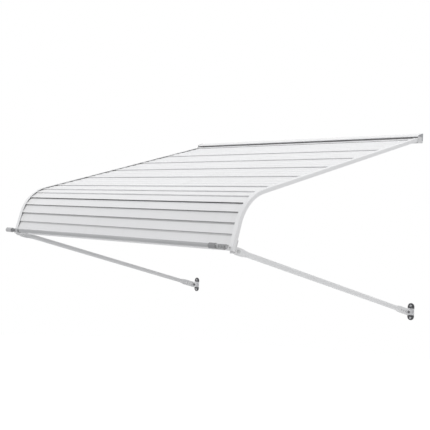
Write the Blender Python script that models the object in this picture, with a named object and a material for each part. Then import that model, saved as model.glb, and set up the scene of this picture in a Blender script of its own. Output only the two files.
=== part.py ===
"""Aluminium door canopy, modelled in metres with +Z up.

The wall is the plane y = 0 and the canopy reaches out toward -Y. The origin is the
centre of the header's back face. Seen from the street, -X is left and +X is right.
Roof pieces are drawn along a side profile: s runs down the roof from the header,
and n stands square on the roof, outward.
"""
from math import acos, atan2, ceil, cos, pi, radians, sin, sqrt

import bmesh
import bpy
from mathutils import Matrix, Vector

# Driving dimensions
CANOPY_WIDTH = 1.219
GAP = 0.0003

# Side profile of the roof
ROOF_START_OUT = 0.030
ROOF_START_BELOW = 0.003
ROOF_SLOPE = radians(16.6)
ROOF_RUN = 0.909
FRONT_RADIUS = 0.152
FRONT_SLOPE = radians(75.0)
FRONT_DROP = 0.072

# Roof pans and front slats
PAN_COUNT = 5
PAN_WIDTH = 0.1567
FLUTE_PITCH = 0.039
FLUTE_STEP = 0.0024
FLUTE_RAMP = 0.005
SLAT_COUNT = 8
SLAT_PITCH = 0.036
SHEET = 0.0009
SEAM_GAP = 0.0006
LOCK_DEPTH = 0.007
LIP_CLEAR = 0.0015
SHEET_BEND = 0.0011
SLAT_END_GAP = 0.0006

# Side rails
RAIL_WALL = 0.0016
RAIL_INSIDE = 0.0105
RAIL_TOP_FLANGE = 0.024
RAIL_BACK_FLANGE = 0.022
RAIL_TOP_CLEAR = 0.0004
RAIL_HEAD = 0.010
RAIL_TAIL = 0.016
RAIL_BEND = 0.0015
RAIL_STATION = 0.015

# Header against the wall
HEADER_HEIGHT = 0.038
HEADER_WALL = 0.002
HOOD_REACH = 0.032
HOOD_DROP = 0.006
HOOD_FASCIA = 0.005
SHELF_REACH = 0.013
SHELF_LIP = 0.004
HEADER_BEND = 0.001
END_CAP = 0.002
END_CAP_MARGIN = 0.001
END_CAP_FILLET = 0.004
END_CAP_PEG = 0.012
END_CAP_PEG_THICK = 0.003

# Receiver rail under the hood
RECEIVER_LEG = 0.013

# Front trim, bar and the fittings on the bar
TRIM_FACE = 0.013
TRIM_RETURN = 0.005
BAR_DIAMETER = 0.014
BAR_WALL = 0.0012
BAR_AHEAD = 0.036
BAR_FALL = 0.003
HOOK_WIDTH = 0.006
HOOK_SHEET = 0.0016
HOOK_FOOT = 0.011
HOOK_WRAP = radians(28.0)
COLLAR_WALL = 0.0016
PLUG_STEM = 0.015
PLUG_RIBS = 5
PLUG_RIB_PITCH = 0.0062
PLUG_RIB_WIDTH = 0.0036
PLUG_GROOVE = 0.0012

# The bar's fittings at its left and right ends, keyed by side
BAR_INSET = {-1: 0.071, 1: 0.028}
HOOK_INSET = {-1: 0.016, 1: 0.0055}
COLLAR_LENGTH = {-1: 0.038, 1: 0.0275}
SPIGOT = {-1: 0.0405, 1: 0.001}

# Support arms
ARM_DIAMETER = 0.018
ARM_WALL = 0.0015
ARM_TAB = 0.004
ARM_TAPER = 0.036
ARM_TIP = 0.012
ARM_TIP_CHAMFER = 0.005
ARM_FRONT_TAB = 0.016
ARM_HOLES = 4
ARM_HOLE_PITCH = 0.015
ARM_SIDES = 16

# Clevises and pivot bolts
EAR = 0.0025
EAR_RADIUS = 0.010
SLOT_FLOOR = 0.0005
BOLT_DIAMETER = 0.006
BOLT_HEAD_FLATS = 0.010
BOLT_HEAD = 0.004
NUT = 0.005
BOLT_TAIL = 0.002
BRACKET_PLATE = 0.002
BRACKET_LENGTH = 0.042
BRACKET_BACK = 0.005
BRACKET_REACH = 0.016
BRACKET_BELOW = 0.009

# Wall feet
FOOT_HEIGHT = 0.066
FOOT_WIDTH = 0.028
FOOT_PLATE = 0.003
FOOT_REACH = 0.026
FOOT_BELOW = 0.671

# Screws and rivets, as head diameter, head height and shank diameter
SCREW = (0.007, 0.0022, 0.0036)
FOOT_SCREW = (0.009, 0.003, 0.0045)
RIVET = (0.0048, 0.0012, 0.0024)
RIVET_LENGTH = 0.004
FOOT_SCREW_SPREAD = 0.046
RAIL_SCREW_LENGTH = 0.008
RAIL_SCREW_AT = 0.014
TRIM_SCREW_AT = 0.007
HEADER_SCREWS = 4
HEADER_SCREW_INSET = 0.0695
BRACKET_SCREWS = (0.015, 0.006)
BRACKET_SCREW_LENGTH = 0.006

# Worked out from the sizes above
LAYER = SHEET + SEAM_GAP
LAP = 3 * LAYER
HALF_WIDTH = CANOPY_WIDTH / 2
SLAT_HALF = HALF_WIDTH - RAIL_WALL - SLAT_END_GAP
ARC_LENGTH = FRONT_RADIUS * (FRONT_SLOPE - ROOF_SLOPE)
ROOF_END = ROOF_RUN + ARC_LENGTH + FRONT_DROP
FIRST_PAN = ROOF_END - (PAN_COUNT - 1) * PAN_WIDTH - SLAT_COUNT * SLAT_PITCH
SIDES = (("left", -1), ("right", 1))


def material(name, colour, roughness, metallic):
    """A Principled material of one colour."""
    made = bpy.data.materials.new(name)
    made.use_nodes = True
    shader = made.node_tree.nodes["Principled BSDF"]
    shader.inputs["Base Color"].default_value = (*colour, 1.0)
    shader.inputs["Roughness"].default_value = roughness
    shader.inputs["Metallic"].default_value = metallic
    return made


def new_object(name, mesh, finish):
    """Put a mesh in the scene under its part name, with its material."""
    mesh.materials.clear()
    mesh.materials.append(finish)
    part = bpy.data.objects.new(name, mesh)
    bpy.context.scene.collection.objects.link(part)
    return part


def mesh_of(name, points, faces):
    """A mesh with all its faces turned the same way."""
    mesh = bpy.data.meshes.new(name)
    mesh.from_pydata([tuple(point) for point in points], [], faces)
    shape = bmesh.new()
    shape.from_mesh(mesh)
    bmesh.ops.recalc_face_normals(shape, faces=shape.faces)
    shape.to_mesh(mesh)
    shape.free()
    return mesh


def settle(part):
    """Turn the modifiers of a part into its plain mesh."""
    graph = bpy.context.evaluated_depsgraph_get()
    mesh = bpy.data.meshes.new_from_object(part.evaluated_get(graph))
    part.modifiers.clear()
    part.data = mesh
    return part


def smooth(part, angle=30.0):
    """Shade round stretches smooth and keep the edges crisp."""
    part.data.shade_smooth()
    part.data.set_sharp_from_angle(angle=radians(angle))
    return part


def combine(part, tool, operation):
    """Join a part with another shape, or cut it, and use that shape up."""
    cut = part.modifiers.new(operation.lower(), "BOOLEAN")
    cut.operation = operation
    cut.object = tool
    settle(part)
    bpy.data.objects.remove(tool)
    return part


def loft(name, rings, finish, closed=False):
    """Skin equal rings of points, with flat ends, or as a loop that closes on itself."""
    count = len(rings[0])
    points = [point for ring in rings for point in ring]
    spans = len(rings) if closed else len(rings) - 1
    faces = []
    for ring in range(spans):
        here = ring * count
        there = (ring + 1) % len(rings) * count
        for side in range(count):
            after = (side + 1) % count
            faces.append((here + side, here + after, there + after, there + side))
    if not closed:
        faces.append(tuple(range(count)))
        faces.append(tuple(range(len(points) - count, len(points))))
    return new_object(name, mesh_of(name, points, faces), finish)


def ring_of(centre, across, up, radius, sides):
    """A circle of points in the plane of two directions."""
    angles = [2 * pi * side / sides for side in range(sides)]
    return [centre + across * radius * cos(a) + up * radius * sin(a) for a in angles]


def turned(name, base, axis, profile, sides, finish, closed=False):
    """Turn a profile of (distance along the axis, radius) round an axis."""
    axis = axis.normalized()
    across = axis.orthogonal().normalized()
    up = axis.cross(across)
    rings = [ring_of(base + axis * along, across, up, radius, sides) for along, radius in profile]
    return smooth(loft(name, rings, finish, closed))


def prism(name, outline, start_x, end_x, finish):
    """Run a closed (y, z) outline along X."""
    rings = [[Vector((x, y, z)) for y, z in outline] for x in (start_x, end_x)]
    return loft(name, rings, finish)


def drill(part, centre, axis, diameter, reach, sides=12):
    """Drill a round hole through a part, both ways from its centre."""
    axis = axis.normalized()
    profile = [(-reach, diameter / 2), (reach, diameter / 2)]
    bit = turned("bit", centre, axis, profile, sides, part.data.materials[0])
    return combine(part, bit, "DIFFERENCE")


def sheet_strip(name, path, start_x, end_x, thickness, bend, finish):
    """Sheet metal bent along a (y, z) path and running along X."""
    points = [Vector((x, y, z)) for y, z in path for x in (start_x, end_x)]
    faces = [(2 * i, 2 * i + 1, 2 * i + 3, 2 * i + 2) for i in range(len(path) - 1)]
    part = new_object(name, mesh_of(name, points, faces), finish)
    return thicken(part, thickness, bend)


def thicken(part, thickness, bend):
    """Round the folds of a sheet and give it its thickness."""
    folds = part.modifiers.new("folds", "BEVEL")
    folds.width = bend
    folds.segments = 2
    folds.limit_method = "ANGLE"
    folds.angle_limit = radians(40.0)
    wall = part.modifiers.new("wall", "SOLIDIFY")
    wall.thickness = thickness
    wall.offset = 0.0
    wall.use_even_offset = True
    return smooth(settle(part))


def roof_frame(s):
    """The roof line at s: its point (y, z) and its slope."""
    if s <= ROOF_RUN:
        y = -ROOF_START_OUT - s * cos(ROOF_SLOPE)
        z = -ROOF_START_BELOW - s * sin(ROOF_SLOPE)
        return y, z, ROOF_SLOPE
    slope = ROOF_SLOPE + min(s - ROOF_RUN, ARC_LENGTH) / FRONT_RADIUS
    tail = max(s - ROOF_RUN - ARC_LENGTH, 0.0)
    y = -ROOF_START_OUT - ROOF_RUN * cos(ROOF_SLOPE) - FRONT_RADIUS * (sin(slope) - sin(ROOF_SLOPE))
    z = -ROOF_START_BELOW - ROOF_RUN * sin(ROOF_SLOPE) - FRONT_RADIUS * (cos(ROOF_SLOPE) - cos(slope))
    return y - tail * cos(slope), z - tail * sin(slope), slope


def step_from(frame, along, out):
    """A point (y, z) reached from a frame, along its slope and square to it."""
    y, z, slope = frame
    return y - along * cos(slope) - out * sin(slope), z - along * sin(slope) + out * cos(slope)


def roof_point(s, out):
    """A point (y, z) at s, standing out from the roof line."""
    return step_from(roof_frame(s), 0.0, out)


def seam_places():
    """Where each roof piece locks into the next, from the header to the front trim."""
    places = [0.0]
    lengths = [FIRST_PAN] + [PAN_WIDTH] * (PAN_COUNT - 1) + [SLAT_PITCH] * SLAT_COUNT
    for length in lengths:
        places.append(places[-1] + length)
    return places


SEAMS = seam_places()
RAIL_END = ROOF_END + RAIL_TAIL


def flute_sizes(start, end):
    """How many flutes a pan has, how wide each is and how far each rises."""
    count = round((end - start) / FLUTE_PITCH)
    return count, (end - start) / count, (LAP + (count - 1) * FLUTE_STEP) / count


def arrival(index):
    """The slant out of the roof line with which a sheet arrives at its lower seam."""
    start = SEAMS[index - 1]
    end = SEAMS[index]
    if index > PAN_COUNT:
        return atan2(LAP, end - start)
    _, width, rise = flute_sizes(start, end)
    return atan2(rise, width - FLUTE_RAMP / 2)


def seam_frame(index):
    """A seam's frame: its point on the roof line and the way the sheet above arrives there."""
    y, z, slope = roof_frame(SEAMS[index])
    if index > 0:
        before_y, before_z, _ = roof_frame(SEAMS[index - 1])
        slope = atan2(before_z - z, before_y - y) - arrival(index)
    return y, z, slope


def layer(count):
    """Height of the middle of a folded layer, counted inward from the top sheet."""
    return -SHEET / 2 - count * LAYER


def upper_hook(frame):
    """Upper edge of a roof piece: the leg that locks into the lip above, then the sheet."""
    back = -LOCK_DEPTH - SEAM_GAP - SHEET / 2
    return [
        step_from(frame, -SHEET - SEAM_GAP, layer(1)),
        step_from(frame, back, layer(1)),
        step_from(frame, back, layer(3)),
        step_from(frame, LIP_CLEAR, layer(3)),
    ]


def lower_lip(frame):
    """Lower edge of a roof piece: down over the seam and back under it."""
    return [
        step_from(frame, -SHEET / 2, layer(0)),
        step_from(frame, -SHEET / 2, layer(2)),
        step_from(frame, -LOCK_DEPTH, layer(2)),
    ]


def flutes(start, end):
    """The low steps across a wide pan, between its two seams."""
    count, width, rise = flute_sizes(start, end)
    path = []
    for index in range(1, count):
        crest = layer(3) + index * rise - (index - 1) * FLUTE_STEP
        at = start + index * width
        path.append(roof_point(at - FLUTE_RAMP / 2, crest))
        path.append(roof_point(at + FLUTE_RAMP / 2, crest - FLUTE_STEP))
    return path


def roof_sheets(finish):
    """The wide fluted pans and then the narrow slats, each locked into the last."""
    parts = []
    for index in range(PAN_COUNT + SLAT_COUNT):
        wide = index < PAN_COUNT
        name = f"roof_pan_{index + 1}" if wide else f"front_slat_{index - PAN_COUNT + 1}"
        middle = flutes(SEAMS[index], SEAMS[index + 1]) if wide else []
        path = upper_hook(seam_frame(index)) + middle + lower_lip(seam_frame(index + 1))
        parts.append(sheet_strip(name, path, -SLAT_HALF, SLAT_HALF, SHEET, SHEET_BEND, finish))
    return parts


def rail_section(side):
    """Middle line (x, n) of a rail's C section, from its top flange to its back flange."""
    outer = HALF_WIDTH - RAIL_WALL / 2
    top = RAIL_TOP_CLEAR + RAIL_WALL / 2
    back = top - RAIL_WALL - RAIL_TOP_CLEAR - RAIL_INSIDE
    return [
        (side * (HALF_WIDTH - RAIL_TOP_FLANGE), top),
        (side * outer, top),
        (side * outer, back),
        (side * (HALF_WIDTH - RAIL_BACK_FLANGE), back),
    ]


def rail_stations():
    """Places along the roof where the rail's section is drawn: close together on the curve."""
    steps = ceil(ARC_LENGTH / RAIL_STATION)
    arc = [ROOF_RUN + ARC_LENGTH * step / steps for step in range(steps + 1)]
    return [-RAIL_HEAD] + arc + [RAIL_END]


def side_rail(name, side, finish):
    """A C-channel bent to the side profile, open toward the middle of the canopy."""
    section = rail_section(side)
    stations = rail_stations()
    points = []
    for s in stations:
        for x, n in section:
            y, z = roof_point(s, n)
            points.append(Vector((x, y, z)))
    wide = len(section)
    faces = []
    for station in range(len(stations) - 1):
        for edge in range(wide - 1):
            corner = station * wide + edge
            faces.append((corner, corner + 1, corner + wide + 1, corner + wide))
    part = new_object(name, mesh_of(name, points, faces), finish)
    return thicken(part, RAIL_WALL, RAIL_BEND)


def header(finish):
    """The extruded header: back plate, sloping hood with its fascia, and a low shelf."""
    back = -HEADER_WALL / 2
    top = HEADER_HEIGHT / 2 - HEADER_WALL / 2
    front = -HOOD_REACH + HEADER_WALL / 2
    shelf = -SHELF_REACH + HEADER_WALL / 2
    path = [
        (front, top - HOOD_DROP - HOOD_FASCIA),
        (front, top - HOOD_DROP),
        (back, top),
        (back, -top),
        (shelf, -top),
        (shelf, -top + SHELF_LIP),
    ]
    return sheet_strip("wall_header", path, -HALF_WIDTH, HALF_WIDTH, HEADER_WALL, HEADER_BEND, finish)


def fillet(outline, radius, steps=4):
    """Round the corners of a closed (y, z) outline."""
    rounded = []
    count = len(outline)
    for index in range(count):
        corner = Vector(outline[index])
        before = (Vector(outline[index - 1]) - corner).normalized()
        after = (Vector(outline[(index + 1) % count]) - corner).normalized()
        half = before.angle(after) / 2
        centre = corner + (before + after).normalized() * radius / sin(half)
        start = corner + before * radius / (sin(half) / cos(half)) - centre
        end = corner + after * radius / (sin(half) / cos(half)) - centre
        for step in range(steps + 1):
            rounded.append(tuple(centre + start.lerp(end, step / steps).normalized() * radius))
    return rounded


def header_cap(name, side, finish):
    """A plate that closes the header's end, with a peg that fits under the hood."""
    top = HEADER_HEIGHT / 2 + END_CAP_MARGIN
    front = -HOOD_REACH - END_CAP_MARGIN
    outline = [(0.0, top), (front, top - HOOD_DROP), (front, -HEADER_HEIGHT / 2), (0.0, -HEADER_HEIGHT / 2)]
    inner = side * (HALF_WIDTH + GAP)
    outer = side * (HALF_WIDTH + GAP + END_CAP)
    part = prism(name, fillet(outline, END_CAP_FILLET), min(inner, outer), max(inner, outer), finish)
    peg_back = -2 * HEADER_WALL
    peg_front = -HOOD_REACH + 2 * HEADER_WALL
    back_top = hood_underside(peg_back) - GAP
    front_top = hood_underside(peg_front) - GAP
    low = front_top - END_CAP_PEG_THICK
    peg_outline = [(peg_back, back_top), (peg_front, front_top), (peg_front, low), (peg_back, low)]
    peg_ends = sorted((side * (HALF_WIDTH - END_CAP_PEG), (inner + outer) / 2))
    combine(part, prism("peg", peg_outline, *peg_ends, finish), "UNION")
    return smooth(part)


def hood_underside(y):
    """Height of the hood's lower face at a distance from the wall."""
    run = HOOD_REACH - HEADER_WALL
    fall = HOOD_DROP * (-y - HEADER_WALL / 2) / run
    slant = sqrt(run * run + HOOD_DROP * HOOD_DROP) / run
    return HEADER_HEIGHT / 2 - HEADER_WALL / 2 - fall - HEADER_WALL / 2 * slant


def receiver_knee():
    """Where the receiver's slope meets its leg on the header's back plate, as (y, z)."""
    lip_y, lip_z = lower_lip(seam_frame(0))[0]
    y = -HEADER_WALL - GAP - SHEET / 2
    return y, lip_z + (y - lip_y) * sin(ROOF_SLOPE) / cos(ROOF_SLOPE)


def receiver(finish):
    """The rail under the hood: a leg on the header's back plate and a lip for the first pan."""
    y, z = receiver_knee()
    path = [(y, z - RECEIVER_LEG), (y, z)] + lower_lip(seam_frame(0))
    return sheet_strip("receiver_rail", path, -SLAT_HALF, SLAT_HALF, SHEET, SHEET_BEND, finish)


def front_trim(finish):
    """The trim that locks under the last slat and closes the canopy's lower edge."""
    frame = seam_frame(len(SEAMS) - 1)
    face = [
        step_from(frame, TRIM_FACE, layer(3)),
        step_from(frame, TRIM_FACE, layer(3) - TRIM_RETURN),
    ]
    path = upper_hook(frame)[:3] + face
    return sheet_strip("front_trim", path, -SLAT_HALF, SLAT_HALF, SHEET, SHEET_BEND, finish)


def bar_centre():
    """Middle of the front bar in the side view."""
    y, z, _ = roof_frame(ROOF_END)
    return y - BAR_AHEAD, z - BAR_FALL


def bar_point(x):
    """A point on the bar's middle line."""
    y, z = bar_centre()
    return Vector((x, y, z))


def bar_end(side):
    """Where the bar's tube ends, along X."""
    return side * (HALF_WIDTH - BAR_INSET[side])


def front_bar(finish):
    """The round tube that runs in front of the lower edge, open at both ends."""
    outer = BAR_DIAMETER / 2
    inner = outer - BAR_WALL
    length = bar_end(1) - bar_end(-1)
    profile = [(0.0, outer), (length, outer), (length, inner), (0.0, inner)]
    return turned("front_bar", bar_point(bar_end(-1)), Vector((1, 0, 0)), profile, 20, finish, closed=True)


def hook_middle(side):
    """Where a hook crosses the bar, inside the bar's end."""
    return bar_end(side) - side * (HOOK_INSET[side] + HOOK_WIDTH / 2)


def bar_hook(name, side, finish):
    """A J-shaped strap: its foot lies on the trim, its curl passes under the bar and up in front."""
    frame = seam_frame(len(SEAMS) - 1)
    face = layer(3) + SHEET / 2 + GAP + HOOK_SHEET / 2
    centre = Vector(bar_centre())
    radius = BAR_DIAMETER / 2 + GAP + HOOK_SHEET / 2
    foot_low = step_from(frame, TRIM_FACE - HOOK_SHEET / 2, face)
    foot_top = step_from(frame, TRIM_FACE - HOOK_FOOT, face)
    away = Vector(foot_low) - centre
    touch = atan2(away.y, away.x) - acos(radius / away.length)
    sweep = pi + touch + HOOK_WRAP
    steps = 9
    curl = []
    for step in range(steps + 1):
        turn = touch - sweep * step / steps
        curl.append((centre.x + radius * cos(turn), centre.y + radius * sin(turn)))
    path = [foot_top, foot_low] + curl
    middle = hook_middle(side)
    start_x = middle - HOOK_WIDTH / 2
    end_x = middle + HOOK_WIDTH / 2
    return sheet_strip(name, path, start_x, end_x, HOOK_SHEET, SHEET_BEND, finish)


def collar_start(side):
    """Right end of a collar: on the right against the hook, on the left against the plug's ribs."""
    if side > 0:
        return hook_middle(side) - HOOK_WIDTH / 2 - GAP
    return bar_end(side) - PLUG_RIBS * PLUG_RIB_PITCH - 2 * GAP


def bar_collar(name, side, finish):
    """A sleeve on the bar on the right, and on the plug's long end on the left."""
    bore = BAR_DIAMETER / 2 + GAP
    outer = bore + COLLAR_WALL
    chamfer = COLLAR_WALL / 2
    length = COLLAR_LENGTH[side]
    profile = [
        (0.0, bore),
        (0.0, outer - chamfer),
        (chamfer, outer),
        (length - chamfer, outer),
        (length, outer - chamfer),
        (length, bore),
    ]
    return turned(name, bar_point(collar_start(side)), Vector((-1, 0, 0)), profile, 20, finish, closed=True)


def bar_plug(name, side, finish):
    """The plug in the bar's end: a stem inside the tube, ribs outside and a plain end."""
    stem = BAR_DIAMETER / 2 - BAR_WALL - GAP
    crest = BAR_DIAMETER / 2
    root = crest - PLUG_GROOVE
    profile = [(-PLUG_STEM, stem), (GAP, stem)]
    at = GAP
    for _ in range(PLUG_RIBS):
        rib_end = at + PLUG_RIB_WIDTH
        profile += [(at, crest), (rib_end, crest), (rib_end, root), (at + PLUG_RIB_PITCH, root)]
        at += PLUG_RIB_PITCH
    profile += [(at, crest), (at + SPIGOT[side], crest), (at + SPIGOT[side] + PLUG_GROOVE, root)]
    return turned(name, bar_point(bar_end(side)), Vector((side, 0, 0)), profile, 14, finish)


def arm_x(side):
    """Side place of an arm: under the middle of the rail's back flange."""
    return side * (HALF_WIDTH - RAIL_BACK_FLANGE / 2)


def rail_back():
    """Height of the rail's back face below the roof line."""
    return -RAIL_WALL - RAIL_INSIDE


def bracket_middle():
    """The frame at the middle of an arm bracket's plate."""
    return roof_frame(RAIL_END + BRACKET_BACK - BRACKET_LENGTH / 2)


def front_pivot():
    """Pivot (y, z) of the arms at the rails."""
    out = rail_back() - GAP - BRACKET_PLATE - BRACKET_REACH
    return step_from(bracket_middle(), BRACKET_BELOW, out)


def wall_pivot():
    """Pivot (y, z) of the arms at the wall feet."""
    return -FOOT_REACH, -FOOT_BELOW


def arm_line():
    """The arm's direction from the front pivot to the wall pivot, and its length."""
    start = Vector((0.0, *front_pivot()))
    end = Vector((0.0, *wall_pivot()))
    return (end - start).normalized(), (end - start).length


def stadium_ring(centre, across, up, straight, radius):
    """Evenly spaced points round two half circles joined by straight sides."""
    total = 4 * straight + 2 * pi * radius
    points = []
    for side in range(ARM_SIDES):
        run = (side + 0.5) * total / ARM_SIDES
        half = total / 2
        flip = -1 if run >= half else 1
        run = run - half if run >= half else run
        if run < 2 * straight:
            place = (straight - run, radius)
        else:
            turn = pi / 2 + (run - 2 * straight) / radius
            place = (-straight + radius * cos(turn), radius * sin(turn))
        points.append(centre + across * flip * place[0] + up * flip * place[1])
    return points


def arm_rings(side, wall):
    """Sections of an arm, inset by a wall: a tube pressed flat toward both ends."""
    direction, length = arm_line()
    start = Vector((arm_x(side), *front_pivot()))
    across = Vector((1, 0, 0)).cross(direction)
    up = Vector((1, 0, 0))
    round_radius = ARM_DIAMETER / 2
    tab_radius = ARM_TAB / 2
    wall_tab = (ARM_HOLES - 1) * ARM_HOLE_PITCH + ARM_TIP
    taper = [0.0, 0.3, 0.7, 1.0]
    places = [(-ARM_TIP, 1.0, ARM_TIP_CHAMFER), (-ARM_TIP + ARM_TIP_CHAMFER, 1.0, 0.0)]
    places += [(ARM_FRONT_TAB + ARM_TAPER * t, 1.0 - t * t * (3 - 2 * t), 0.0) for t in taper]
    places += [(length - wall_tab - ARM_TAPER * t, 1.0 - t * t * (3 - 2 * t), 0.0) for t in reversed(taper)]
    places += [(length + ARM_TIP - ARM_TIP_CHAMFER, 1.0, 0.0), (length + ARM_TIP, 1.0, ARM_TIP_CHAMFER)]
    rings = []
    for along, flat, narrow in places:
        radius = round_radius + (tab_radius - round_radius) * flat - wall
        straight = pi * (round_radius - radius - wall) / 2 - narrow
        rings.append(stadium_ring(start + direction * along, across, up, straight, radius))
    return rings


def support_arm(name, side, finish):
    """A round tube with pressed, drilled ends: one hole in front, a row of holes at the wall."""
    rings = arm_rings(side, 0.0) + list(reversed(arm_rings(side, ARM_WALL)))
    part = loft(name, rings, finish, closed=True)
    direction, length = arm_line()
    start = Vector((arm_x(side), *front_pivot()))
    places = [0.0] + [length - index * ARM_HOLE_PITCH for index in range(ARM_HOLES)]
    for along in places:
        drill(part, start + direction * along, Vector((1, 0, 0)), BOLT_DIAMETER + 2 * GAP, ARM_TAB)
    return smooth(part)


def clevis_half():
    """Half the width over a clevis's two ears."""
    return ARM_TAB / 2 + GAP + EAR


def ears(part, outline, side, slot_outline, pivot):
    """Add a block to a part, slot it for the arm's tab and drill it for the bolt."""
    x = arm_x(side)
    finish = part.data.materials[0]
    block = prism("block", outline, x - clevis_half(), x + clevis_half(), finish)
    combine(part, block, "UNION")
    slot_half = ARM_TAB / 2 + GAP
    slot = prism("slot", slot_outline, x - slot_half, x + slot_half, finish)
    combine(part, slot, "DIFFERENCE")
    drill(part, Vector((x, *pivot)), Vector((1, 0, 0)), BOLT_DIAMETER + 2 * GAP, 2 * clevis_half())
    return smooth(part)


def rounded_ear(frame, back, pivot_along, pivot_out):
    """Outline of an ear that grows from a plate and rounds off about its pivot."""
    steps = 10
    away = 1 if pivot_out > back else -1
    outline = [step_from(frame, pivot_along + EAR_RADIUS, back)]
    for step in range(steps + 1):
        turn = pi * step / steps
        out = pivot_out + away * EAR_RADIUS * sin(turn)
        outline.append(step_from(frame, pivot_along + EAR_RADIUS * cos(turn), out))
    outline.append(step_from(frame, pivot_along - EAR_RADIUS, back))
    return outline


def box_outline(frame, along, out):
    """A rectangle (y, z) between two places along a frame and two heights out of it."""
    corners = ((along[0], out[0]), (along[1], out[0]), (along[1], out[1]), (along[0], out[1]))
    return [step_from(frame, u, v) for u, v in corners]


def bracket_face():
    """Height of an arm bracket's lower face below the roof line."""
    return rail_back() - GAP - BRACKET_PLATE


def arm_bracket(name, side, finish):
    """A plate on the rail's back face with two ears for the arm's front end."""
    frame = bracket_middle()
    low = bracket_face()
    ends = (-BRACKET_LENGTH / 2, BRACKET_LENGTH / 2)
    outline = box_outline(frame, ends, (low + BRACKET_PLATE, low))
    plate_half = RAIL_BACK_FLANGE / 2
    part = prism(name, outline, arm_x(side) - plate_half, arm_x(side) + plate_half, finish)
    ear = rounded_ear(frame, low + BRACKET_PLATE / 2, BRACKET_BELOW, low - BRACKET_REACH)
    slot = box_outline(frame, ends, (low - SLOT_FLOOR, low - BRACKET_REACH - 2 * EAR_RADIUS))
    return ears(part, ear, side, slot, front_pivot())


def bracket_screw_places(side):
    """Where the bracket's screws sit on its face, with the way their heads point."""
    frame = bracket_middle()
    inward = Vector((0.0, sin(frame[2]), -cos(frame[2])))
    return [(Vector((arm_x(side), *step_from(frame, -up, bracket_face()))), inward) for up in BRACKET_SCREWS]


def wall_foot(name, side, finish):
    """A round-ended wall plate with two ears for the arm's wall end."""
    straight = (FOOT_HEIGHT - FOOT_WIDTH) / 2
    radius = FOOT_WIDTH / 2
    steps = 10
    outline = []
    for end in (1, -1):
        for step in range(steps + 1):
            turn = pi * step / steps
            outline.append((end * radius * cos(turn), end * (straight + radius * sin(turn))))
    x = arm_x(side)
    rings = [[Vector((x + px, y, pz - FOOT_BELOW)) for px, pz in outline] for y in (0.0, -FOOT_PLATE)]
    part = loft(name, rings, finish)
    frame = (0.0, -FOOT_BELOW, pi / 2)
    ear = rounded_ear(frame, FOOT_PLATE / 2, 0.0, FOOT_REACH)
    slot_ends = (FOOT_PLATE + SLOT_FLOOR, FOOT_REACH + 2 * EAR_RADIUS)
    slot = box_outline(frame, (-2 * EAR_RADIUS, 2 * EAR_RADIUS), slot_ends)
    return ears(part, ear, side, slot, wall_pivot())


def hex_prism(name, base, axis, height, finish):
    """A hexagon across the bolts' flats."""
    corner = BOLT_HEAD_FLATS / 2 / cos(pi / 6)
    return turned(name, base, axis, [(0.0, corner), (height, corner)], 6, finish)


def bolt(name, side, pivot, finish):
    """A hex-headed pivot bolt through a clevis, its head outward."""
    reach = clevis_half() + GAP
    out = Vector((side, 0, 0))
    base = Vector((arm_x(side), *pivot)) + out * reach
    length = 2 * reach + NUT + BOLT_TAIL
    shank = BOLT_DIAMETER / 2
    part = turned(name, base, out, [(-length, shank), (BOLT_HEAD / 2, shank)], 12, finish)
    return smooth(combine(part, hex_prism("head", base, out, BOLT_HEAD, finish), "UNION"))


def nut(name, side, pivot, finish):
    """The lock nut on a pivot bolt, on the clevis's inner side."""
    out = Vector((-side, 0, 0))
    base = Vector((arm_x(side), *pivot)) + out * (clevis_half() + GAP)
    part = hex_prism(name, base, out, NUT, finish)
    return smooth(drill(part, base, out, BOLT_DIAMETER + 2 * GAP, 2 * NUT))


def screw(name, place, out, sizes, length, finish):
    """A pan-headed screw whose head sits just off a face."""
    head, head_height, shank = sizes
    profile = [
        (-length, shank / 2),
        (0.0, shank / 2),
        (0.0, head / 2),
        (head_height / 2, head / 2),
        (head_height, head / 3),
    ]
    return turned(name, place + out * GAP, out, profile, 10, finish)


def fasten(parts, name, place, out, sizes, length, finish, targets):
    """Drill the pieces that a screw passes through and put the screw in."""
    for target in targets:
        drill(parts[target], place, out, sizes[2] + 2 * GAP, length + GAP, 10)
        smooth(parts[target])
    parts[name] = screw(name, place, out, sizes, length, finish)


def header_fasteners(parts, finish):
    """The wall screws through the receiver rail's leg and the header."""
    knee_y, knee_z = receiver_knee()
    face = knee_y - SHEET / 2
    pitch = (CANOPY_WIDTH - 2 * HEADER_SCREW_INSET) / (HEADER_SCREWS - 1)
    for index in range(HEADER_SCREWS):
        x = (index - (HEADER_SCREWS - 1) / 2) * pitch
        place = Vector((x, face, knee_z - RECEIVER_LEG / 2))
        targets = ("wall_header", "receiver_rail")
        fasten(parts, f"header_screw_{index + 1}", place, Vector((0, -1, 0)), SCREW, -face, finish, targets)


def rail_fasteners(parts, word, side, finish):
    """The screws through a rail's top flange: one into the first pan, one into the front trim."""
    x = side * (HALF_WIDTH - RAIL_TOP_FLANGE / 2)
    spots = (("upper", RAIL_SCREW_AT, "roof_pan_1"), ("lower", ROOF_END + TRIM_SCREW_AT, "front_trim"))
    for end, s, target in spots:
        slope = roof_frame(s)[2]
        out = Vector((0.0, -sin(slope), cos(slope)))
        place = Vector((x, *roof_point(s, RAIL_TOP_CLEAR + RAIL_WALL)))
        targets = (f"side_rail_{word}", target)
        fasten(parts, f"rail_screw_{word}_{end}", place, out, SCREW, RAIL_SCREW_LENGTH, finish, targets)


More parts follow.
